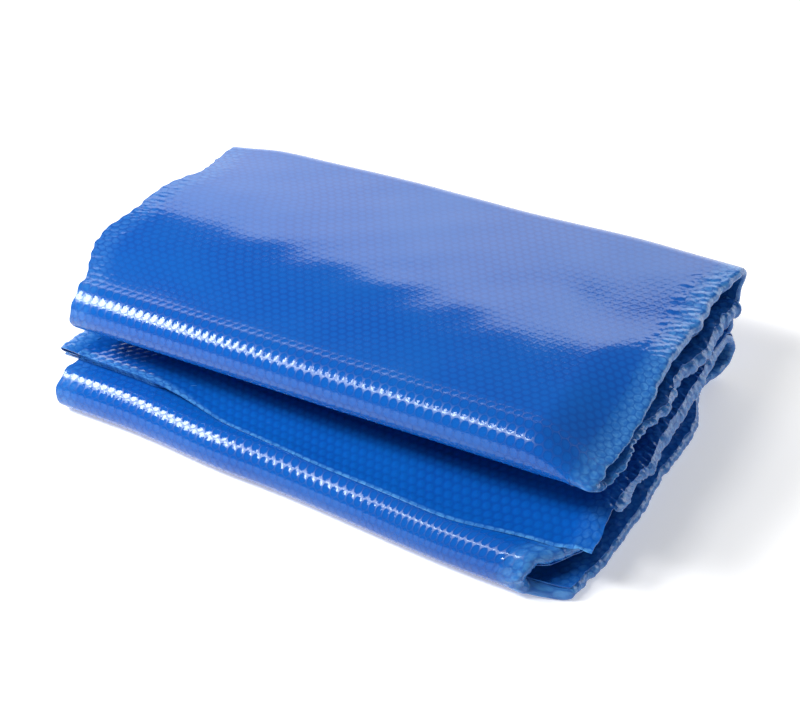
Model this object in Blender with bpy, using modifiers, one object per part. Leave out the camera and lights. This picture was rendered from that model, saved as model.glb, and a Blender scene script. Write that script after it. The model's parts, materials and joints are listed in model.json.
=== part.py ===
"""Folded solar blanket for a spa or pool, built as its separate panels and creases.

The blanket is one sheet of blue bubble film.  It is folded twice over across its width into a
strip of three plies, and the strip is folded along its length into five leaves: a floor leaf
with a loose lip at the front, an inner leaf, a base leaf, a cover leaf and an under leaf.
Three rolls and a tall spine join the leaves.  Every ply of every leaf, roll and spine is an
object, and so is each crease where one ply turns into the next at the two ends.

Units are metres and +Z is up.  The origin is the middle of the bottom, +X runs along the
folds and -Y is the open front.
"""
import math

import bmesh
import bpy
from mathutils import Vector

# Driving dimensions of the folded blanket, and the film's thickness over its bubbles.
LENGTH = 0.64
DEPTH = 0.43
FILM = 0.0038
PLY_PITCH = 0.0046

# Air between neighbouring pieces, and the flat run at each end of a fold.
GAP = 0.0003
LEAD = 0.0006

# Outer radii of the folds, and the heights that the leaves are held at.
BASE_ROLL_RADIUS = 0.0255
SPINE_RADIUS = 0.022
UPPER_ROLL_RADIUS = 0.027
INNER_ROLL_RADIUS = 0.0261
INNER_ROLL_HEIGHT = 0.0531
SPINE_HEIGHT = 0.141
SPINE_CLEARANCE = 0.0008

# The cover rises towards the front, and the floor leaf falls towards it.
COVER_SLOPE = math.radians(2.7)
FLOOR_SLOPE = math.radians(2.6)

# How far the front edges stand back from the base roll, and where the lip is hinged.
COVER_SETBACK = 0.034
LIP_SETBACK = 0.034
LIP_LENGTH = 0.105
LIP_STAGGER = 0.020
END_STAGGER = 0.004
UNDER_LEAF_BACK_GAP = 0.024

ARC_STEP = math.radians(15)
CREASE_SIDES = 6

FILM_COLOR = (0.010, 0.130, 0.560, 1.0)
CREASE_COLOR = (0.060, 0.260, 0.720, 1.0)
FILM_ROUGHNESS = 0.18
CREASE_ROUGHNESS = 0.30

# Distance from a stack's outer surface to the middle of its three plies.
STACK_MIDDLE = FILM / 2 + PLY_PITCH
PLIES = (1, 2, 3)


def clear_scene():
    for item in list(bpy.data.objects):
        bpy.data.objects.remove(item, do_unlink=True)


def make_collection():
    collection = bpy.data.collections.new("folded_solar_blanket")
    bpy.context.scene.collection.children.link(collection)
    return collection


def film_material(name, color, roughness):
    material = bpy.data.materials.new(name)
    material.use_nodes = True
    shader = material.node_tree.nodes["Principled BSDF"]
    shader.inputs["Base Color"].default_value = color
    shader.inputs["Roughness"].default_value = roughness
    shader.inputs["Metallic"].default_value = 0.0
    return material


def hinge(collection, name, y, z, parent=None):
    """An empty on a joint's axis, which carries the pieces that turn about it."""
    empty = bpy.data.objects.new(name, None)
    empty.empty_display_size = 0.05
    collection.objects.link(empty)
    place = Vector((0.0, y, z))
    empty.location = place
    if parent:
        empty.parent = parent
        empty.location = place - parent.location
    return empty


def direction(angle):
    """A unit vector in the YZ plane, with angle 0 to the back and 90 degrees upwards."""
    return Vector((0.0, math.cos(angle), math.sin(angle)))


def straight(start, heading, length):
    """Two stations along a flat leaf: a point on the middle ply, and the normal to its left."""
    along = direction(heading)
    normal = direction(heading + math.pi / 2)
    near = start + along * (LEAD + GAP)
    far = start + along * (length - LEAD - GAP)
    return [(near, normal), (far, normal)]


def bend(centre, radius, first, last):
    """Stations round a fold, from angle first to angle last, with a short flat lead at each end."""
    turn = 1 if last > first else -1
    steps = round(abs(last - first) / ARC_STEP)
    stations = []
    for step in range(steps + 1):
        outward = direction(first + (last - first) * step / steps)
        stations.append((centre + outward * radius, -outward * turn))
    start, start_normal = stations[0]
    end, end_normal = stations[-1]
    lead_in = direction(first + turn * math.pi / 2) * LEAD
    lead_out = direction(last + turn * math.pi / 2) * LEAD
    return [(start - lead_in, start_normal)] + stations + [(end + lead_out, end_normal)]


def ply_offset(ply):
    """Ply 1 lies to the right of the strip's run and ply 3 to its left."""
    return (ply - 2) * PLY_PITCH


def crease_centre():
    return LENGTH / 2 - PLY_PITCH / 2 - FILM / 2


def ply_profile(ply):
    """A straight cut across the strip; the ends with no crease are cut edges set back a little."""
    offset = ply_offset(ply)
    reach = crease_centre() - LEAD - GAP
    left = -reach
    right = reach
    if ply == 1:
        left = -(reach - END_STAGGER)
    if ply == 3:
        right = reach - END_STAGGER
    return [(left, offset), (right, offset)]


def crease_profile(side):
    """Half a turn from one ply into the next: plies 1 and 2 at +X, plies 2 and 3 at -X."""
    radius = PLY_PITCH / 2
    middle = -side * radius
    centre = crease_centre()
    points = [(side * (centre - LEAD), middle - radius)]
    for step in range(CREASE_SIDES + 1):
        angle = math.pi * step / CREASE_SIDES - math.pi / 2
        points.append((side * (centre + math.cos(angle) * radius), middle + math.sin(angle) * radius))
    points.append((side * (centre - LEAD), middle + radius))
    return points


def swept_film(collection, name, profile, stations, origin, material):
    """A sheet swept along the strip and thickened to the film's real thickness."""
    film = bmesh.new()
    rows = []
    for place, normal in stations:
        row = []
        for x, offset in profile:
            row.append(film.verts.new(place + normal * offset + Vector((x, 0.0, 0.0)) - origin))
        rows.append(row)
    for low, high in zip(rows, rows[1:]):
        for index in range(len(profile) - 1):
            film.faces.new((low[index], low[index + 1], high[index + 1], high[index]))
    for face in film.faces:
        face.smooth = len(stations) > 2
    mesh = bpy.data.meshes.new(name)
    film.to_mesh(mesh)
    film.free()
    mesh.materials.append(material)
    piece = bpy.data.objects.new(name, mesh)
    collection.objects.link(piece)
    thicken = piece.modifiers.new("film_thickness", "SOLIDIFY")
    thicken.thickness = FILM
    thicken.offset = 0.0
    thicken.use_even_offset = True
    return piece


def make_fold(collection, name, stations, carrier=None, stagger=0.0):
    """One leaf, roll or spine: its three plies and the creases at its two ends."""
    origin = Vector((0.0, 0.0, 0.0))
    if carrier:
        origin = carrier.matrix_world.translation.copy()
    pieces = []
    for ply in PLIES:
        label = name + "_ply_" + str(ply)
        path = trim_start(stations, stagger * (3 - ply))
        material = film_material(label, FILM_COLOR, FILM_ROUGHNESS)
        pieces.append(swept_film(collection, label, ply_profile(ply), path, origin, material))
    for end, side in (("right", 1), ("left", -1)):
        label = name + "_crease_" + end
        path = trim_start(stations, stagger * 2)
        material = film_material(label, CREASE_COLOR, CREASE_ROUGHNESS)
        pieces.append(swept_film(collection, label, crease_profile(side), path, origin, material))
    for piece in pieces:
        if carrier:
            piece.parent = carrier
    return pieces


def trim_start(stations, amount):
    """Set a leaf's cut edge back along the leaf."""
    if amount == 0.0:
        return stations
    first, normal = stations[0]
    second = stations[1][0]
    along = (second - first).normalized()
    return [(first + along * amount, normal)] + stations[1:]


def flat_leaf(start, end):
    run = end - start
    return straight(start, math.atan2(run.z, run.y), run.length)


def build():
    clear_scene()
    collection = make_collection()

    front = -DEPTH / 2
    back = DEPTH / 2
    half_turn = math.pi
    quarter = math.pi / 2

    base_radius = BASE_ROLL_RADIUS - STACK_MIDDLE
    base_centre = Vector((0.0, front + BASE_ROLL_RADIUS, BASE_ROLL_RADIUS))

    # Spine: a corner on the floor, a wall, and a corner under the cover's back edge.
    spine_radius = SPINE_RADIUS - STACK_MIDDLE
    low_corner = Vector((0.0, back - SPINE_RADIUS, SPINE_RADIUS))
    corner_rise = SPINE_RADIUS * math.tan((quarter - COVER_SLOPE) / 2)
    high_corner = Vector((0.0, back - SPINE_RADIUS, SPINE_HEIGHT - corner_rise))
    spine = bend(low_corner, spine_radius, -quarter, 0.0)
    spine += bend(high_corner, spine_radius, 0.0, quarter - COVER_SLOPE)

    # Inner roll, which turns the floor leaf over into the inner leaf inside the spine.
    inner_radius = INNER_ROLL_RADIUS - STACK_MIDDLE
    inner_y = back - 2 * STACK_MIDDLE - SPINE_CLEARANCE - INNER_ROLL_RADIUS
    inner_centre = Vector((0.0, inner_y, INNER_ROLL_HEIGHT))
    floor_back = inner_centre + direction(quarter + FLOOR_SLOPE) * inner_radius

    # The inner leaf is the tangent that crosses from under the inner roll to over the base roll.
    span = inner_centre - base_centre
    lean = math.asin((base_radius + inner_radius) / span.length)
    inner_slope = lean - math.atan2(span.z, span.y)
    inner_up = direction(quarter - inner_slope)
    inner_front = base_centre + inner_up * base_radius
    inner_back = inner_centre - inner_up * inner_radius
    base_roll = bend(base_centre, base_radius, quarter - inner_slope, quarter + half_turn)
    inner_roll = bend(inner_centre, inner_radius, quarter + FLOOR_SLOPE, -quarter - inner_slope)

    # Floor leaf, and the lip in front of its hinge line.
    forward = direction(half_turn + FLOOR_SLOPE)
    floor_length = (floor_back.y - front - LIP_SETBACK) / math.cos(FLOOR_SLOPE)
    lip_front = floor_back + forward * floor_length
    lip_back = floor_back + forward * (floor_length - LIP_LENGTH)
    floor_top = direction(quarter + FLOOR_SLOPE) * STACK_MIDDLE

    # Upper roll, which turns the cover leaf over into the under leaf.
    upper_radius = UPPER_ROLL_RADIUS - STACK_MIDDLE
    cover_run = direction(half_turn - COVER_SLOPE)
    cover_up = direction(quarter - COVER_SLOPE)
    cover_corner = Vector((0.0, back, SPINE_HEIGHT))
    cover_length = (DEPTH - COVER_SETBACK) / math.cos(COVER_SLOPE)
    roll_centre = cover_corner + cover_run * (cover_length - UPPER_ROLL_RADIUS)
    roll_centre -= cover_up * UPPER_ROLL_RADIUS
    roll_start = quarter - COVER_SLOPE
    upper_roll = bend(roll_centre, upper_radius, roll_start, roll_start + half_turn)
    under_front = roll_centre - cover_up * upper_radius
    under_length = cover_length - UPPER_ROLL_RADIUS - UNDER_LEAF_BACK_GAP
    under_back = under_front - cover_run * under_length

    spine_hinge = hinge(collection, "spine_hinge", back, 0.0)
    cover_hinge = hinge(collection, "cover_hinge", back, SPINE_HEIGHT, spine_hinge)
    lip_axis = lip_back + floor_top
    lip_hinge = hinge(collection, "lip_hinge", lip_axis.y, lip_axis.z)
    bpy.context.view_layer.update()

    make_fold(collection, "lip", flat_leaf(lip_front, lip_back), lip_hinge, LIP_STAGGER)
    make_fold(collection, "floor_leaf", flat_leaf(lip_back, floor_back))
    make_fold(collection, "inner_roll", inner_roll)
    make_fold(collection, "inner_leaf", flat_leaf(inner_back, inner_front))
    make_fold(collection, "base_roll", base_roll)
    base_front = base_centre - direction(quarter) * base_radius
    base_back = low_corner - direction(quarter) * spine_radius
    make_fold(collection, "base_leaf", flat_leaf(base_front, base_back))
    make_fold(collection, "spine", spine, spine_hinge)
    cover_back = high_corner + cover_up * spine_radius
    cover_front = roll_centre + cover_up * upper_radius
    make_fold(collection, "cover_leaf", flat_leaf(cover_back, cover_front), cover_hinge)
    make_fold(collection, "upper_roll", upper_roll, cover_hinge)
    make_fold(collection, "under_leaf", flat_leaf(under_front, under_back), cover_hinge)


build()
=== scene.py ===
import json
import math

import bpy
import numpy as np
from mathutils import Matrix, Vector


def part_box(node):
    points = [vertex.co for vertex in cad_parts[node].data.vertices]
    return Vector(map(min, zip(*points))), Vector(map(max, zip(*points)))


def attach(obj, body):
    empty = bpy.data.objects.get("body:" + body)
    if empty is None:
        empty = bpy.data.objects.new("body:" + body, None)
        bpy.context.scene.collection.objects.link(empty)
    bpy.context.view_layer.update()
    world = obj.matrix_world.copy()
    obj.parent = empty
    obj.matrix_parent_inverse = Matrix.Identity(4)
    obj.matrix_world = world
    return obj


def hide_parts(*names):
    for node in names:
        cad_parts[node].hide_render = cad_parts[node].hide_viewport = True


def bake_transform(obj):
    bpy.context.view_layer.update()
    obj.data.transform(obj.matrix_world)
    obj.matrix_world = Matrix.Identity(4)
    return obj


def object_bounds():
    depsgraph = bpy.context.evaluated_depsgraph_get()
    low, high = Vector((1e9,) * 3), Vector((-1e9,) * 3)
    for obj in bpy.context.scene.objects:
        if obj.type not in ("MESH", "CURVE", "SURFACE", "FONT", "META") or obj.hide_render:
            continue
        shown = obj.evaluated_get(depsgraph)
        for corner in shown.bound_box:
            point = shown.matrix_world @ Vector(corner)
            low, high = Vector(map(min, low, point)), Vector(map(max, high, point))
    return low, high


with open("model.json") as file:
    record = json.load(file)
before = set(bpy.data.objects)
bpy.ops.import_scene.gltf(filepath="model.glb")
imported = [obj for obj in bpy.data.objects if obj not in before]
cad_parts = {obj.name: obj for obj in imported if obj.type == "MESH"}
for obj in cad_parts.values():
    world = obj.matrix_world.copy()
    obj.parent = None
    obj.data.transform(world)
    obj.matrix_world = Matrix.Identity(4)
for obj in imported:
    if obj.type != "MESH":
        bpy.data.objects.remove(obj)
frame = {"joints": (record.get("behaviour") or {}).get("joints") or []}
CAD_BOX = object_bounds()

# The looks of the folded solar blanket: one sheet of bubble film, folded to its real size.
#
# The blanket is a strip of three plies.  The strip runs from the lip's cut edge, round the inner
# roll, the base roll, the spine and the upper roll, to the cut edge under the cover.  A place on
# it is named by u, across the strip, and v, along its middle ply.  The film is built at that
# place with its bubbles as real relief, and then the whole pack is eased out of true, as a soft
# pack lies.

# The bubbles: their spacing, radius and height, the film's thickness between them, and how far
# the smooth side swells over each one.
BUBBLE_PITCH = 0.0097
ROW_PITCH = BUBBLE_PITCH * math.sqrt(3) / 2
BUBBLE_RADIUS = 0.0047
BUBBLE_HEIGHT = 0.0010
WEB = 0.0010
PILLOW = 0.00008

# Mesh cells to a bubble: fine where the film shows, coarse where it lies hidden.
FINE = 4
COARSE = 2

# A panel's half width and its overlap at a cut edge, and the flat length of a crease, in bubbles.
HALF_PANEL = 29 * BUBBLE_PITCH
FREE_RUN = 2.5 * BUBBLE_PITCH
CREASE_LENGTH = 6 * BUBBLE_PITCH

# How far each crease reaches in from its end, where the plies begin to part, and by how much.
CREASE_RUN = 0.026
PARTING_RUN = 0.045
PARTING = 0.0062

# The path's step, and how far it is carried on past the lip's front.
STEP = 0.001
LIP_SPARE = 0.03
PLIES = (1, 2, 3)


# ---------------------------------------------------------------- the strip's path

def direction(angle):
    """A unit vector in the YZ plane: angle 0 points to the back and a quarter turn points up."""
    return np.array([math.cos(angle), math.sin(angle)])


def joint_named(name):
    """The record of one of the frame's joints."""
    return next(joint for joint in frame["joints"] if joint["name"] == name)


def roll_circle(node, at_front):
    """A roll's centre and outer radius, from the box of its outermost ply."""
    low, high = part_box(node)
    radius = (high.z - low.z) / 2
    y = low.y + radius if at_front else high.y - radius
    return np.array([y, high.z - radius]), radius


class Path:
    """The middle ply seen from the end: points and left-hand normals at small even steps."""

    def __init__(self):
        self.points = []
        self.normals = []
        self.marks = {}

    def line(self, start, end):
        run = end - start
        length = np.linalg.norm(run)
        along = run / length
        normal = np.array([-along[1], along[0]])
        for distance in np.arange(0.0, length, STEP):
            self.points.append(start + along * distance)
            self.normals.append(normal)

    def arc(self, centre, radius, first, last):
        turn = 1 if last > first else -1
        count = int(abs(last - first) * radius / STEP)
        for index in range(count):
            outward = direction(first + (last - first) * index / count)
            self.points.append(centre + outward * radius)
            self.normals.append(-outward * turn)

    def mark(self, name):
        """Names the place where a fold ends."""
        self.marks[name] = len(self.points)

    def close(self, spare):
        """Turns the lists into arrays and measures v, which is 0 a little after the first point."""
        self.points = np.array(self.points)
        self.normals = np.array(self.normals)
        steps = np.linalg.norm(np.diff(self.points, axis=0), axis=1)
        self.v = np.concatenate([[0.0], np.cumsum(steps)]) - spare
        last = len(self.v) - 1
        self.marks = {name: self.v[min(index, last)] for name, index in self.marks.items()}

    def at(self, v):
        point = [np.interp(v, self.v, self.points[:, axis]) for axis in (0, 1)]
        normal = [np.interp(v, self.v, self.normals[:, axis]) for axis in (0, 1)]
        return point, normal


def floor_run(inner_centre, inner_radius):
    """The floor leaf's front and back points and its slope, from the floor leaf's box."""
    low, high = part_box("floor_leaf_ply_2")
    slope = math.atan2(high.z - low.z - FILM, high.y - low.y)
    back = inner_centre + direction(math.pi / 2 + slope) * inner_radius
    reach = back[0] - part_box("lip_ply_3")[0].y
    front = back + direction(math.pi + slope) * reach / math.cos(slope)
    return front, back, slope


def make_path():
    """Joins the leaves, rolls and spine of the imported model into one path."""
    quarter = math.pi / 2
    middle = FILM / 2 + PLY_PITCH
    base_centre, base_radius = roll_circle("base_roll_ply_1", True)
    inner_centre, inner_radius = roll_circle("inner_roll_ply_3", False)
    upper_centre, upper_radius = roll_circle("upper_roll_ply_1", True)
    base_radius -= middle
    inner_radius -= middle
    upper_radius -= middle
    path = Path()

    # The floor leaf from its cut edge, and the inner roll at its back.
    front, back, slope = floor_run(inner_centre, inner_radius)
    lip_y = joint_named("lip_lift")["pos_m"][1]
    lip_back = front + (back - front) * (lip_y - front[0]) / (back[0] - front[0])
    path.line(front + direction(math.pi + slope) * LIP_SPARE, lip_back)
    path.mark("lip")
    path.line(lip_back, back)
    path.mark("floor_leaf")

    # The inner leaf crosses from under the inner roll to over the base roll.
    span = inner_centre - base_centre
    lean = math.asin((base_radius + inner_radius) / np.linalg.norm(span))
    inner_slope = lean - math.atan2(span[1], span[0])
    inner_up = direction(quarter - inner_slope)
    path.arc(inner_centre, inner_radius, quarter + slope, -quarter - inner_slope)
    path.mark("inner_roll")
    path.line(inner_centre - inner_up * inner_radius, base_centre + inner_up * base_radius)
    path.mark("inner_leaf")
    path.arc(base_centre, base_radius, quarter - inner_slope, 3 * quarter)
    path.mark("base_roll")

    # The base leaf, and the spine in two halves.
    cover = joint_named("cover_fold")
    cover_slope = math.radians(90 - cover["range_deg"][1])
    cover_up = direction(quarter - cover_slope)
    spine_low, spine_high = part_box("spine_ply_1")
    corner = spine_high.y - spine_low.y
    corner_radius = corner - middle
    low_corner = np.array([spine_high.y - corner, corner])
    rise = corner * math.tan((quarter - cover_slope) / 2)
    high_corner = np.array([spine_high.y - corner, cover["pos_m"][2] - rise])
    path.line(base_centre - direction(quarter) * base_radius,
              low_corner - direction(quarter) * corner_radius)
    path.mark("base_leaf")
    path.arc(low_corner, corner_radius, -quarter, 0.0)
    wall_low = low_corner + direction(0.0) * corner_radius
    wall_high = high_corner + direction(0.0) * corner_radius
    wall_middle = (wall_low + wall_high) / 2
    path.line(wall_low, wall_middle)
    path.mark("spine_low")
    path.line(wall_middle, wall_high)
    path.arc(high_corner, corner_radius, 0.0, quarter - cover_slope)
    path.mark("spine_high")

    # The cover leaf, the upper roll and the under leaf.
    path.line(high_corner + cover_up * corner_radius, upper_centre + cover_up * upper_radius)
    path.mark("cover_leaf")
    path.arc(upper_centre, upper_radius, quarter - cover_slope, 3 * quarter - cover_slope)
    path.mark("upper_roll")
    under_front = upper_centre - cover_up * upper_radius
    under_reach = (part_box("under_leaf_ply_2")[1].y - under_front[0]) / math.cos(cover_slope)
    path.line(under_front, under_front - direction(math.pi - cover_slope) * under_reach)
    path.mark("under_leaf")
    path.close(LIP_SPARE)
    return path


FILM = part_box("base_leaf_ply_2")[1].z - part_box("base_leaf_ply_2")[0].z
PLY_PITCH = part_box("base_leaf_ply_3")[0].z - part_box("base_leaf_ply_2")[0].z
HALF_LENGTH = CAD_BOX[1][0]
PATH = make_path()
MARKS = PATH.marks


# ---------------------------------------------------------------- smooth shapes and noise

def ramp(value, start, end):
    """0 before start, 1 after end, with a smooth rise between."""
    t = np.clip((value - start) / (end - start), 0.0, 1.0)
    return t * t * (3 - 2 * t)


def hump(value, start, full, fade, end):
    """Rises from start to full and falls again from fade to end."""
    return ramp(value, start, full) * (1 - ramp(value, fade, end))


def waves(seed, a, b, wavelength, count=10):
    """A smooth random field of about unit height over two coordinates in metres."""
    rng = np.random.default_rng(seed)
    total = np.zeros(np.broadcast(a, b).shape)
    for _ in range(count):
        angle = rng.uniform(0, math.tau)
        scale = rng.uniform(0.7, 1.5) * math.tau / wavelength
        phase = rng.uniform(0, math.tau)
        total += np.sin(scale * (a * math.cos(angle) + b * math.sin(angle)) + phase)
    return total / math.sqrt(count / 2)


def streaks(seed, u, v, size):
    """Sharp slanting folds that run across the strip's edge, from 0 to about 1."""
    field = np.abs(waves(seed, 0.30 * u, v + 0.35 * u, size))
    return 1 - np.clip(field, 0, 1.6) / 1.6


# ---------------------------------------------------------------- where the plies lie

def over_fold(v, first, last, blur=0.05):
    """1 along the folds from one named place to another, fading in and out before and after."""
    start, end = MARKS[first], MARKS[last]
    return hump(v, start - blur, start, end, end + blur)


def room(v):
    """How far the plies part at the ends: least where the inner roll fills the spine."""
    tight = np.maximum(over_fold(v, "floor_leaf", "inner_roll"),
                       over_fold(v, "base_leaf", "spine_high"))
    looser = 0.7 * over_fold(v, "upper_roll", "under_leaf")
    closer = 0.5 * over_fold(v, "spine_high", "cover_leaf")
    return (1 + looser - closer) * (1 - 0.85 * tight)


def droop(v):
    """How far the floor leaf's outer ply hangs down at its +X end."""
    back = MARKS["floor_leaf"]
    return 0.003 * (1 - ramp(v, 0.0, 0.10)) + 0.010 * hump(v, 0.05, 0.16, back - 0.10, back - 0.02)


def left_end(v):
    """How far from the middle the creases at -X stand, before their unevenness."""
    tongue = 0.020 * (1 - ramp(v, 0.0, 0.060))
    base = 0.006 * over_fold(v, "inner_leaf", "base_roll")
    cover = 0.007 * over_fold(v, "cover_leaf", "upper_roll")
    under = 0.006 * over_fold(v, "upper_roll", "under_leaf", 0.03)
    return HALF_LENGTH - 0.015 + tongue + base - cover - under


def right_end(v):
    """The same at +X: the base roll's mouth slants back, and other folds stand back a little."""
    inner = MARKS["inner_roll"]
    front = (MARKS["inner_leaf"] + MARKS["base_roll"]) / 2
    low = MARKS["base_leaf"]
    inner_in = 0.022 * hump(v, inner, inner + 0.08, front - 0.12, front - 0.02)
    mouth_in = 0.056 * hump(v, front - 0.085, front + 0.002, front + 0.012, front + 0.034)
    base_in = 0.013 * hump(v, front + 0.012, front + 0.034, front + 0.045, front + 0.10)
    spine_in = 0.018 * hump(v, low - 0.13, low - 0.03, low + 0.01, MARKS["spine_low"] + 0.02)
    cover_in = 0.007 * over_fold(v, "spine_high", "cover_leaf", 0.08)
    return HALF_LENGTH - 0.002 - mouth_in - inner_in - base_in - spine_in - cover_in


def crease_end(side, v):
    """How far from the middle a crease stands."""
    wide = 0.0022 * waves(3 + side, v, 0 * v, 0.13)
    narrow = 0.0007 * waves(13 + side, v, 0 * v, 0.024)
    return (left_end(v) if side < 0 else right_end(v)) + wide + narrow


def panel_x(u, v):
    """Where a flat place on a panel lies across the pack, which its uneven ends pull on."""
    flat_end = HALF_PANEL + CREASE_RUN
    right = (crease_end(1, v) - flat_end) * ramp(u, 0.06, HALF_PANEL)
    left = (crease_end(-1, v) - flat_end) * ramp(-u, 0.06, HALF_PANEL)
    return u + right - left


def lip_left(x):
    """1 at -X, where the lip's three cut edges lie one on another, and 0 where only one shows."""
    return ramp(-x, 0.10, 0.21)


def lip_setback(ply, x):
    """How far back each ply's cut edge is from the lip's front."""
    left = lip_left(x)
    bow = -0.013 * hump(x, -0.20, 0.03, 0.15, 0.28)
    at_right = {1: 0.070, 2: 0.052, 3: bow}[ply]
    return at_right * (1 - left) + 0.005 * left


def along_strip(ply, x, v):
    """Moves the first stretch of each ply back to its own cut edge."""
    return v + lip_setback(ply, x) * (1 - ramp(v, 0.0, 0.16))


def lip_sag(ply, x, v):
    """The loose front of the lip settles on the leaf below it."""
    rise = 0.0012 * (1 - ramp(v, 0.0, 0.10))
    alone = 0.0086 * (1 - ramp(v, 0.0, 0.052)) * (1 - lip_left(x))
    return (alone if ply == 3 else 0.0) - rise


def shoulder(v):
    """How far in the rolls lie at their front shoulder, where soft film flattens."""
    total = 0.0
    for first, last in (("inner_leaf", "base_roll"), ("cover_leaf", "upper_roll")):
        along = (v - MARKS[first]) / (MARKS[last] - MARKS[first])
        total = total + 0.0008 * np.exp(-((along - 0.22) / 0.10) ** 2)
    return total


def ply_offset(ply, x, v):
    """Offset of a ply's middle from the strip's middle, to the left of its run."""
    gap = room(v) * PARTING
    right = 1 - ramp(crease_end(1, v) - x, 0.010, PARTING_RUN)
    offset = (ply - 2) * PLY_PITCH - lip_sag(ply, x, v) + shoulder(v)
    if ply == 1:
        offset = offset - droop(v) * right
    if ply >= 2:
        offset = offset + gap * right
    if ply == 3:
        offset = offset + gap * (1 - ramp(crease_end(-1, v) + x, 0.010, PARTING_RUN))
    return offset


def ease_pack(x, y, z):
    """Eases the whole pack out of true, as a soft pack lies."""
    across = x / HALF_LENGTH
    upper = ramp(z, 0.066, 0.104)
    lower = ramp(z, 0.004, 0.05) * (1 - upper)
    left = ramp(-across, -0.1, 1.0)

    # The roll of the cover tilts, the cover is crowned, and both have soft hollows.
    tilt = 0.009 * across * (1 - ramp(y, -0.16, 0.08))
    crown = 0.007 * ramp(y, -0.17, 0.01) - 0.002 * ramp(y, 0.02, 0.215)
    swell = 0.0002 * waves(21, x, y, 0.26) + 0.00006 * waves(22, x, y, 0.075)
    back = ramp(y, 0.04, 0.20) * (0.3 * hump(x, -0.30, -0.22, -0.14, 0.0) + ramp(x, 0.02, 0.22))
    lift = upper * (tilt + crown + swell + 0.002 * back) + 0.0008 * lower * waves(23, x, y, 0.15)

    # The back corner at -X is rounded off, the edge there bulges, and the base roll is askew.
    corner = 0.021 * left + 0.016 * ramp(-across, 0.78, 1.02)
    back_in = 0.009 * back * upper - corner * ramp(y, 0.05, 0.215) * ramp(z, 0.02, 0.12)
    front_low = (1 - ramp(z, 0.045, 0.075)) * (1 - ramp(y, -0.19, -0.05))
    skew = front_low * (0.010 * ramp(-x, 0.08, 0.24) - 0.015 * ramp(x, -0.07, 0.21))
    bulge = -0.028 * ramp(-across, 0.1, 1.0) * hump(y, -0.19, -0.07, -0.02, 0.16)
    height = np.clip(z / 0.14, 0, 1)

    # The cover's roll is pinched together at its +X end.
    pinch = 0.72 * upper * ramp(x, 0.235, HALF_LENGTH) * (1 - ramp(y, -0.13, 0.03))
    lift = lift + pinch * (0.116 - z)
    return x + bulge * height, y + back_in + skew, np.maximum(z + lift, 0.0)


# ---------------------------------------------------------------- one point of the film

def panel_section(ply, u, v):
    """x, offset, the bubble side's normal and the place along the strip, for a panel."""
    x = panel_x(u, v)
    run = along_strip(ply, x, v)
    facing = -1.0 if ply == 2 else 1.0
    return x, ply_offset(ply, x, run), 0 * x, facing + 0 * x, run


def crease_section(side, u, v):
    """The same for a crease: straight out, half a turn, and straight back."""
    inner, outer = (1, 2) if side > 0 else (2, 3)
    end = crease_end(side, v)
    low_end = ply_offset(inner, side * end, along_strip(inner, side * end, v))
    high_end = ply_offset(outer, side * end, along_strip(outer, side * end, v))
    radius = (high_end - low_end) / 2
    straight = CREASE_RUN - radius
    along = u / CREASE_LENGTH * (2 * straight + math.pi * radius)
    angle = np.clip((along - straight) / radius, 0.0, math.pi) - math.pi / 2
    before = np.minimum(along - straight, 0.0)
    after = np.maximum(along - straight - math.pi * radius, 0.0)
    x = side * (end - radius + radius * np.cos(angle) + before - after)
    share = ramp(np.sin(angle), -1.0, 1.0)
    run = along_strip(inner, x, v) * (1 - share) + along_strip(outer, x, v) * share
    turn = (low_end + high_end) / 2 + radius * np.sin(angle)
    offset = np.where(before < 0, ply_offset(inner, x, run), turn)
    offset = np.where(after > 0, ply_offset(outer, x, run), offset)
    bubbles_in = -1.0 if side > 0 else 1.0
    return x, offset, bubbles_in * side * np.cos(angle), bubbles_in * np.sin(angle), run


def bubble_distance(u, v):
    """Distance from the nearest bubble's centre."""
    row = np.floor(v / ROW_PITCH)
    best = np.full(u.shape, BUBBLE_PITCH)
    for line in (row, row + 1):
        odd = np.mod(line, 2) / 2
        column = np.round(u / BUBBLE_PITCH - odd) + odd
        best = np.minimum(best, np.hypot(u - column * BUBBLE_PITCH, v - line * ROW_PITCH))
    return best


def film_relief(u, v, crush, edge):
    """Heights of the bubble side and the smooth side over the film's smooth face."""
    gap = bubble_distance(u, v)
    dome = np.clip(1 - (gap / BUBBLE_RADIUS) ** 2, 0, 1) ** 2
    slack = np.clip(1 - crush * (0.45 + 0.4 * waves(31, u, v, 0.02)), 0.25, 1.0)
    bubbles = WEB + BUBBLE_HEIGHT * dome * slack * edge
    smooth = PILLOW * ramp(gap, 0.0015, BUBBLE_PITCH * 0.55) * (1 - 0.5 * crush)
    return bubbles, smooth


def bend_round(v):
    """1 where the film bends round a front roll, which dishes its smooth side over each bubble."""
    blur = 0.02
    lower = over_fold(v, "inner_leaf", "base_roll", blur)
    upper = over_fold(v, "cover_leaf", "upper_roll", blur)
    return lower + upper


def film_points(section, bubbles, smooth, dents):
    """The two faces of the film in space."""
    x, offset, normal_x, normal_w, run = section
    (py, pz), (ny, nz) = PATH.at(run)
    faces = []
    for height in (bubbles, smooth):
        lift = height - FILM / 2 + dents
        w = offset + normal_w * lift
        points = ease_pack(x + normal_x * lift, py + w * ny, pz + w * nz)
        faces.append(np.stack(points, -1))
    return faces


# ---------------------------------------------------------------- meshes

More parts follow.
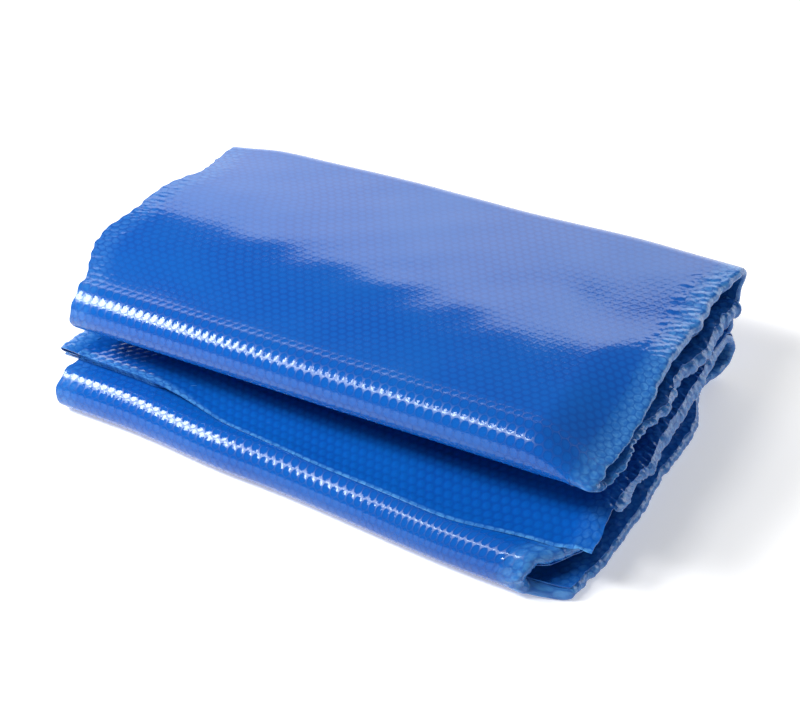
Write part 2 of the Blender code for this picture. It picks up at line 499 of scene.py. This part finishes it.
def grid_triangles(rows, cols):
    """Triangles over a grid whose odd rows stand half a cell along."""
    index = np.arange(rows * cols).reshape(rows, cols)
    a, b = index[:-1, :-1], index[:-1, 1:]
    d, c = index[1:, :-1], index[1:, 1:]
    rising = np.stack([np.stack([a, b, d], -1), np.stack([b, c, d], -1)], 2)
    falling = np.stack([np.stack([a, b, c], -1), np.stack([a, c, d], -1)], 2)
    odd = (np.arange(rows - 1) % 2 == 1)[:, None, None, None]
    return np.where(odd, falling, rising).reshape(-1, 3)


def rim_triangles(rows, cols):
    """Triangles that join the two faces all round their edge."""
    index = np.arange(rows * cols).reshape(rows, cols)
    loop = np.concatenate([index[0, :-1], index[:-1, -1], index[-1, :0:-1], index[:0:-1, 0]])
    after = np.roll(loop, -1)
    count = rows * cols
    one = np.stack([loop, loop + count, after], 1)
    two = np.stack([after, loop + count, after + count], 1)
    return np.concatenate([one, two])


def grid_normals(points, toward):
    """Normals inside a grid that has one spare row and column on every side."""
    across = points[1:-1, 2:] - points[1:-1, :-2]
    along = points[2:, 1:-1] - points[:-2, 1:-1]
    normal = np.cross(across, along)
    normal /= np.linalg.norm(normal, axis=-1, keepdims=True) + 1e-12
    facing = np.sign(np.sum(normal * toward, axis=-1, keepdims=True))
    return normal * facing


def corner_normals(coords, triangles, normals, faces):
    """A normal for each triangle corner: smooth on the two faces, flat on the cut edge."""
    smooth = np.concatenate(normals).reshape(-1, 3)[triangles]
    a, b, c = (coords[triangles[faces:, corner]] for corner in range(3))
    flat = np.cross(b - a, c - a)
    flat /= np.linalg.norm(flat, axis=1, keepdims=True) + 1e-15
    smooth[faces:] = flat[:, None, :]
    return smooth.reshape(-1, 3)


def closed_triangles(coords, rows, cols):
    """The triangles of both faces and of the rim between them, all facing outward."""
    top = grid_triangles(rows, cols)
    triangles = np.concatenate([top, top[:, ::-1] + rows * cols, rim_triangles(rows, cols)])
    a, b, c = (coords[triangles[:, corner]] for corner in range(3))
    if np.einsum("ij,ij->", a, np.cross(b, c)) < 0:
        triangles = triangles[:, ::-1]
    return triangles, len(top) * 2


def fill_mesh(mesh, coords, triangles):
    total = len(triangles)
    mesh.vertices.add(len(coords))
    mesh.vertices.foreach_set("co", coords.astype(np.float32).ravel())
    mesh.loops.add(3 * total)
    mesh.loops.foreach_set("vertex_index", triangles.astype(np.int32).ravel())
    mesh.polygons.add(total)
    mesh.polygons.foreach_set("loop_start", np.arange(0, 3 * total, 3, dtype=np.int32))
    mesh.polygons.foreach_set("use_smooth", np.ones(total, bool))
    mesh.update(calc_edges=True)


def closed_mesh(name, upper, lower, flat):
    """A closed mesh between two faces, given with a spare row and column all round."""
    thickness = (upper - lower)[1:-1, 1:-1]
    normals = [grid_normals(upper, thickness), grid_normals(lower, -thickness)]
    coords = np.concatenate([face[1:-1, 1:-1].reshape(-1, 3) for face in (upper, lower)])
    triangles, faces = closed_triangles(coords, *thickness.shape[:2])
    mesh = bpy.data.meshes.new(name)
    fill_mesh(mesh, coords, triangles)

    # Each point carries its place on the flat sheet, its wear with painted highlight, and how far
    # it is bent.
    places = np.tile(flat.reshape(-1, 3), (2, 1)).astype(np.float32)
    place = mesh.attributes.new("flat_place", "FLOAT_VECTOR", "POINT")
    place.data.foreach_set("vector", places.ravel())
    bends = np.tile(bend_round(flat[..., 1]).ravel(), 2).astype(np.float32)
    bend = mesh.attributes.new("bend", "FLOAT", "POINT")
    bend.data.foreach_set("value", bends)
    mesh.normals_split_custom_set(corner_normals(coords, triangles, normals, faces))
    piece = bpy.data.objects.new(name, mesh)
    bpy.context.scene.collection.objects.link(piece)
    return piece


def lattice(first, last, start, end, detail):
    """u and v over a stretch of the sheet, with one spare row and column on every side."""
    cell = BUBBLE_PITCH / detail
    row = ROW_PITCH / detail
    columns = np.arange(round(first / cell) - 1, round(last / cell) + 2, dtype=float)
    lines = np.arange(round(start / row) - 1, round(end / row) + 2, dtype=float)
    u = np.tile(columns, (len(lines), 1))
    u[lines % 2 == 1, 2:-2] += 0.5
    return u * cell, np.tile(lines[:, None], (1, len(columns))) * row


def edge_factor(distance):
    """Bubbles are cut flat at the sheet's own edges."""
    return ramp(distance, 0.0015, 0.0065)


def cut_run(section):
    """How long a piece's own flat cut is along the strip, on average."""
    run = section[4]
    return float(np.mean(run[-2] - run[1]))


def make_panel(name, ply, start, end, detail):
    """One fold's panel in one ply, between its creases or its free edge."""
    first = -HALF_PANEL - (FREE_RUN if ply == 1 else 0.0)
    last = HALF_PANEL + (FREE_RUN if ply == 3 else 0.0)
    u, v = lattice(first, last, start, end, detail)
    section = panel_section(ply, u, v)
    near_end = ramp(np.abs(u), HALF_PANEL - 0.020, HALF_PANEL + 0.012)
    edge = np.maximum(edge_factor(v), 0.8 * lip_left(u)) * edge_factor(END_OF_SHEET - v)
    if ply == 1:
        edge = edge * edge_factor(u - first)
    if ply == 3:
        edge = edge * edge_factor(last - u)
    bubbles, smooth = film_relief(u, v, near_end, edge)
    bubbles = bubbles + 0.0019 * lip_left(u) * (1 - ramp(v, 0.003, 0.018))
    depth = 0.0013 * ramp(u, -0.1, 0.1) + 0.0004
    dents = near_end * room(v) * depth * (streaks(41 + ply, u, v, 0.013) - 0.6)
    upper, lower = film_points(section, bubbles, smooth, dents)
    # Paler bands along the cut edges, wider at -X, and near the panel ends: partly wear, partly a
    # painted highlight for the light that edges and crushed ends catch.
    cut = 1 - ramp(np.minimum(v, END_OF_SHEET - v), 0.001, 0.005 + 0.012 * lip_left(u))
    wear_and_highlight = np.maximum(0.4 * near_end, cut)
    flat = np.stack([u, v, wear_and_highlight], -1)[1:-1, 1:-1]
    piece = closed_mesh(name, upper, lower, flat)
    return piece, (last - first, cut_run(section))


def make_crease(name, side, start, end, detail):
    """One fold's crease at one end: its film turns from one ply into the next."""
    u, v = lattice(0.0, CREASE_LENGTH, start, end, detail)
    section = crease_section(side, u, v)
    crush = ramp(np.sin(np.pi * np.clip(u / CREASE_LENGTH, 0, 1)), -0.3, 0.9)
    edge = edge_factor(v) * edge_factor(END_OF_SHEET - v)
    bubbles, smooth = film_relief(u, v, crush, edge)
    depth = 0.0017 if side > 0 else 0.0006
    dents = crush * room(v) * depth * (streaks(51 + side, u, v, 0.013) - 0.6)
    upper, lower = film_points(section, bubbles, smooth, dents)
    # The crushed crease takes the paler colour: partly wear, partly a painted highlight.
    flat = np.stack([u + HALF_PANEL, v, 0.2 + 0.4 * crush], -1)[1:-1, 1:-1]
    piece = closed_mesh(name, upper, lower, flat)
    return piece, (CREASE_LENGTH, cut_run(section))


def nearest_row(v):
    """The bubble row nearest to a place along the strip, so that neighbours meet exactly."""
    return round(v / ROW_PITCH) * ROW_PITCH


END_OF_SHEET = nearest_row(MARKS["under_leaf"])


# ---------------------------------------------------------------- materials

# The blues of the web between bubbles, of the bubbles, and of both where they are worn; the worn
# blue also paints a highlight along cut edges and crushed ends.
PANEL_BLUES = ((0.003, 0.070, 0.355, 1), (0.003, 0.092, 0.425, 1), (0.08, 0.30, 0.65, 1))
CREASE_BLUES = ((0.003, 0.080, 0.365, 1), (0.003, 0.100, 0.425, 1), (0.09, 0.31, 0.65, 1))
CLOUDY = (0.003, 0.106, 0.43, 1)


class Nodes:
    """Short calls for building a node tree."""

    def __init__(self, tree):
        self.tree = tree

    def add(self, kind, **values):
        node = self.tree.nodes.new(kind)
        for name, value in values.items():
            setattr(node, name, value)
        return node

    def link(self, source, target):
        self.tree.links.new(source, target)

    def math(self, operation, a, b):
        node = self.add("ShaderNodeMath", operation=operation)
        for socket, value in zip(node.inputs, (a, b)):
            if isinstance(value, float):
                socket.default_value = value
            else:
                self.link(value, socket)
        return node.outputs[0]

    def vector(self, operation, a, *others):
        node = self.add("ShaderNodeVectorMath", operation=operation)
        self.link(a, node.inputs[0])
        for socket, value in zip(list(node.inputs)[1:], others):
            socket.default_value = value
        return node

    def noise(self, place, scale, detail, seed):
        shift = self.vector("ADD", place, (seed, seed * 0.7, 0.0)).outputs[0]
        node = self.add("ShaderNodeTexNoise")
        node.inputs["Scale"].default_value = scale
        node.inputs["Detail"].default_value = detail
        self.link(shift, node.inputs["Vector"])
        return node.outputs["Fac"]

    def remap(self, value, low, high, to_low, to_high):
        node = self.add("ShaderNodeMapRange", interpolation_type="SMOOTHSTEP")
        for name, number in (("From Min", low), ("From Max", high),
                             ("To Min", to_low), ("To Max", to_high)):
            node.inputs[name].default_value = number
        self.link(value, node.inputs["Value"])
        return node.outputs["Result"]

    def mix(self, factor, first, second):
        node = self.add("ShaderNodeMix", data_type="RGBA")
        self.link(factor, node.inputs[0])
        for socket, value in ((node.inputs[6], first), (node.inputs[7], second)):
            if isinstance(value, tuple):
                socket.default_value = value
            else:
                self.link(value, socket)
        return node.outputs[2]


def bubble_field(nodes, flat):
    """Distance from the nearest bubble centre, in metres."""
    half = (BUBBLE_PITCH / 2, ROW_PITCH, 0.02)
    low = tuple(-value for value in half)
    moved = nodes.vector("ADD", flat, (BUBBLE_PITCH / 2, ROW_PITCH, 0.0)).outputs[0]
    gaps = []
    for source in (flat, moved):
        wrapped = nodes.vector("WRAP", source, half, low).outputs[0]
        gaps.append(nodes.vector("LENGTH", wrapped).outputs["Value"])
    return nodes.math("MINIMUM", *gaps)


def film_colour(nodes, flat, gap, wear_highlight_mask, colours):
    """Bubbles and web, cloudy patches, and pale streaks where the film is crushed or cut: partly
    wear, partly a painted highlight.
    """
    web, bubble, worn_and_highlight_blue = colours
    base = nodes.mix(nodes.remap(gap, 0.0022, 0.0050, 0.0, 1.0), bubble, web)
    cloud = nodes.remap(nodes.noise(flat, 9.0, 3.0, 0.3), 0.35, 0.75, 0.0, 0.5)
    base = nodes.mix(cloud, base, CLOUDY)
    streak = nodes.remap(nodes.noise(flat, 190.0, 2.0, 2.1), 0.35, 0.70, 0.35, 1.0)
    streak = nodes.math("MULTIPLY", streak, nodes.remap(gap, 0.0040, 0.0048, 1.0, 0.35))
    # Mixes in the paler blue: worn film, and a painted highlight on cut edges and crushed ends.
    return nodes.mix(nodes.math("MULTIPLY", wear_highlight_mask, streak), base, worn_and_highlight_blue)


def film_roughness(nodes, flat, gap, wear_highlight_mask, bend, roughness):
    """Fine scuffs, duller creases, and duller rims round the bubbles where the film is bent."""
    scuff = nodes.noise(flat, 420.0, 2.0, 5.0)
    rough = nodes.remap(scuff, 0.3, 0.7, roughness * 0.8, roughness * 1.25)
    crushed = nodes.math("MULTIPLY", wear_highlight_mask, 0.12)
    rim = nodes.math("MULTIPLY", bend, nodes.remap(gap, 0.0038, 0.0047, 0.0, 0.27))
    return nodes.math("ADD", rough, nodes.math("MAXIMUM", crushed, rim))


def film_normal(nodes, flat, gap, bend):
    """Each bubble is a shallow dish, deeper where the film is bent, with a fine grain."""
    bump = nodes.add("ShaderNodeBump")
    bump.inputs["Distance"].default_value = 0.0004
    nodes.link(nodes.remap(bend, 0.0, 1.0, 0.16, 0.45), bump.inputs["Strength"])
    dish = nodes.math("POWER", nodes.remap(gap, 0.0, BUBBLE_RADIUS, 0.0, 1.0), 2.0)
    grain = nodes.math("MULTIPLY", nodes.noise(flat, 500.0, 2.0, 8.0), 0.3)
    nodes.link(nodes.math("ADD", dish, grain), bump.inputs["Height"])
    return bump.outputs[0]


def film_material(name, colours, roughness):
    """Glossy blue polythene."""
    material = bpy.data.materials.new(name)
    material.use_nodes = True
    nodes = Nodes(material.node_tree)
    place = nodes.add("ShaderNodeAttribute", attribute_name="flat_place").outputs["Vector"]
    bend = nodes.add("ShaderNodeAttribute", attribute_name="bend").outputs["Fac"]
    split = nodes.add("ShaderNodeSeparateXYZ")
    nodes.link(place, split.inputs[0])
    # The wear mask, which also carries a painted highlight along cut edges and crushed ends.
    wear_highlight_mask = nodes.remap(split.outputs["Z"], 0.10, 1.0, 0.0, 1.0)
    flat = nodes.vector("MULTIPLY", place, (1.0, 1.0, 0.0)).outputs[0]
    gap = bubble_field(nodes, flat)

    shader = material.node_tree.nodes["Principled BSDF"]
    rough = film_roughness(nodes, flat, gap, wear_highlight_mask, bend, roughness)
    nodes.link(film_colour(nodes, flat, gap, wear_highlight_mask, colours), shader.inputs["Base Color"])
    nodes.link(rough, shader.inputs["Roughness"])
    nodes.link(film_normal(nodes, flat, gap, bend), shader.inputs["Normal"])
    shader.inputs["IOR"].default_value = 1.5
    shader.inputs["Specular IOR Level"].default_value = 0.42
    shader.inputs["Specular Tint"].default_value = (0.9, 1.0, 1.0, 1)
    return material


# ---------------------------------------------------------------- the pieces

FOLDS = ("lip", "floor_leaf", "inner_roll", "inner_leaf", "base_roll", "base_leaf",
         "spine_low", "spine_high", "cover_leaf", "upper_roll", "under_leaf")

# The plies that show, which have the fine mesh.
SHOWN = {"lip": (3,), "floor_leaf": (3,), "inner_roll": ()}


def carry(piece, fold):
    """Joins a piece to its body; a piece at a fold line is left where it is, joined to neither
    body.
    """
    if fold in ("base_leaf", "spine_low"):
        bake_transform(piece)
    elif fold in ("spine_high", "cover_leaf"):
        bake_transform(piece)
    elif fold in ("lip", "floor_leaf"):
        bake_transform(piece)
    elif fold in ("upper_roll", "under_leaf"):
        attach(piece, "upper_pack")
    else:
        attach(piece, "lower_pack")


def finish_piece(piece, fold, part, material):
    """Gives a piece its material and its body, and hides the model's part that it stands for."""
    node = fold.replace("_low", "").replace("_high", "") + "_" + part
    piece.data.materials.append(material)
    carry(piece, fold)
    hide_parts(node)


def make_pieces():
    """Every fold's three plies and two creases, from the lip to the under leaf."""
    panel = film_material("bubble_film", PANEL_BLUES, 0.08)
    crease = film_material("creased_film", CREASE_BLUES, 0.11)
    start = 0.0
    for fold in FOLDS:
        end = nearest_row(MARKS[fold])
        for ply in PLIES:
            detail = FINE if ply in SHOWN.get(fold, (1,)) else COARSE
            part = "ply_" + str(ply)
            piece, size = make_panel("film_" + fold + "_" + part, ply, start, end, detail)
            finish_piece(piece, fold, part, panel)
        for label, side in (("right", 1), ("left", -1)):
            part = "crease_" + label
            piece, size = make_crease("film_" + fold + "_" + part, side, start, end, FINE)
            finish_piece(piece, fold, part, crease)
        start = end


# ---------------------------------------------------------------- camera, floor and light

CAMERA_AZIMUTH = math.radians(28.2)
CAMERA_ELEVATION = math.radians(37.5)
CAMERA_DISTANCE = 2.063
CAMERA_TARGET = Vector((0.0052, 0.0, 0.0581))
FOCAL_LENGTH = 84.6


def toward_camera(azimuth, elevation):
    """A unit vector from the pack to the camera."""
    return Vector((math.sin(azimuth) * math.cos(elevation),
                   -math.cos(azimuth) * math.cos(elevation), math.sin(elevation)))


def make_camera():
    data = bpy.data.cameras.new("camera")
    data.lens = FOCAL_LENGTH
    data.sensor_width = 36.0
    data.clip_end = 100.0
    camera = bpy.data.objects.new("camera", data)
    bpy.context.scene.collection.objects.link(camera)
    back = toward_camera(CAMERA_AZIMUTH, CAMERA_ELEVATION)
    camera.location = CAMERA_TARGET + back * CAMERA_DISTANCE
    camera.rotation_mode = "QUATERNION"
    camera.rotation_quaternion = (-back).to_track_quat("-Z", "Y")
    bpy.context.scene.camera = camera


def make_floor():
    mesh = bpy.data.meshes.new("floor")
    reach = 12.0
    drop = -0.0006
    signs = ((-1, -1), (1, -1), (1, 1), (-1, 1))
    corners = [(reach * x, reach * y, drop) for x, y in signs]
    mesh.from_pydata(corners, [], [(0, 1, 2, 3)])
    floor = bpy.data.objects.new("floor", mesh)
    bpy.context.scene.collection.objects.link(floor)
    material = bpy.data.materials.new("pale_floor")
    material.use_nodes = True
    shader = material.node_tree.nodes["Principled BSDF"]
    shader.inputs["Base Color"].default_value = (0.88, 0.88, 0.88, 1)
    shader.inputs["Roughness"].default_value = 0.9
    shader.inputs["Specular IOR Level"].default_value = 0.1
    shader.inputs["Emission Color"].default_value = (1, 1, 1, 1)
    shader.inputs["Emission Strength"].default_value = 0.34
    mesh.materials.append(material)


def area_light(name, place, width, height, radiance, aim=(0.0, 0.0, 0.06)):
    """A soft box that faces the pack.  Its power follows from its size and brightness."""
    data = bpy.data.lights.new(name, "AREA")
    data.shape = "RECTANGLE"
    data.size = width
    data.size_y = height
    data.energy = radiance * width * height * math.pi
    light = bpy.data.objects.new(name, data)
    bpy.context.scene.collection.objects.link(light)
    light.location = place
    light.rotation_mode = "QUATERNION"
    light.rotation_quaternion = (Vector(place) - Vector(aim)).to_track_quat("Z", "Y")
    light.visible_camera = False


def make_lights():
    # A tall white backdrop behind the pack: its top edge ends the sheen on the cover.
    behind = Vector((-math.sin(CAMERA_AZIMUTH), math.cos(CAMERA_AZIMUTH), 0.0))
    area_light("backdrop", behind * 2.6 + Vector((0, 0, 0.90)), 5.0, 1.80, 2.3, (0, 0, 0.9))
    # Its right-hand wing, which the creased +X ends mirror.
    area_light("wing", (2.1, 2.2, 0.8), 3.0, 1.6, 2.4, (0, 0, 0.8))
    # A box overhead at the front left, for the bright lines along the rolls, and a narrower one
    # beside it that carries them on towards +X.
    area_light("key", (-1.48, -1.10, 1.80), 0.95, 0.70, 29.0)
    area_light("key_tail", (-0.55, -1.20, 1.98), 0.7, 0.34, 26.0)
    # Large weak boxes at the sides, for even colour.
    area_light("fill_left", (-2.6, -1.4, 1.0), 1.8, 1.8, 0.7)
    area_light("fill_right", (2.4, -1.2, 1.1), 1.8, 1.8, 0.5)


def make_world():
    world = bpy.data.worlds.new("studio")
    world.use_nodes = True
    background = world.node_tree.nodes["Background"]
    background.inputs["Color"].default_value = (1.0, 1.0, 1.0, 1)
    background.inputs["Strength"].default_value = 0.15
    bpy.context.scene.world = world
    bpy.context.scene.view_settings.view_transform = "Standard"


make_camera()
make_pieces()
make_floor()
make_lights()
make_world()
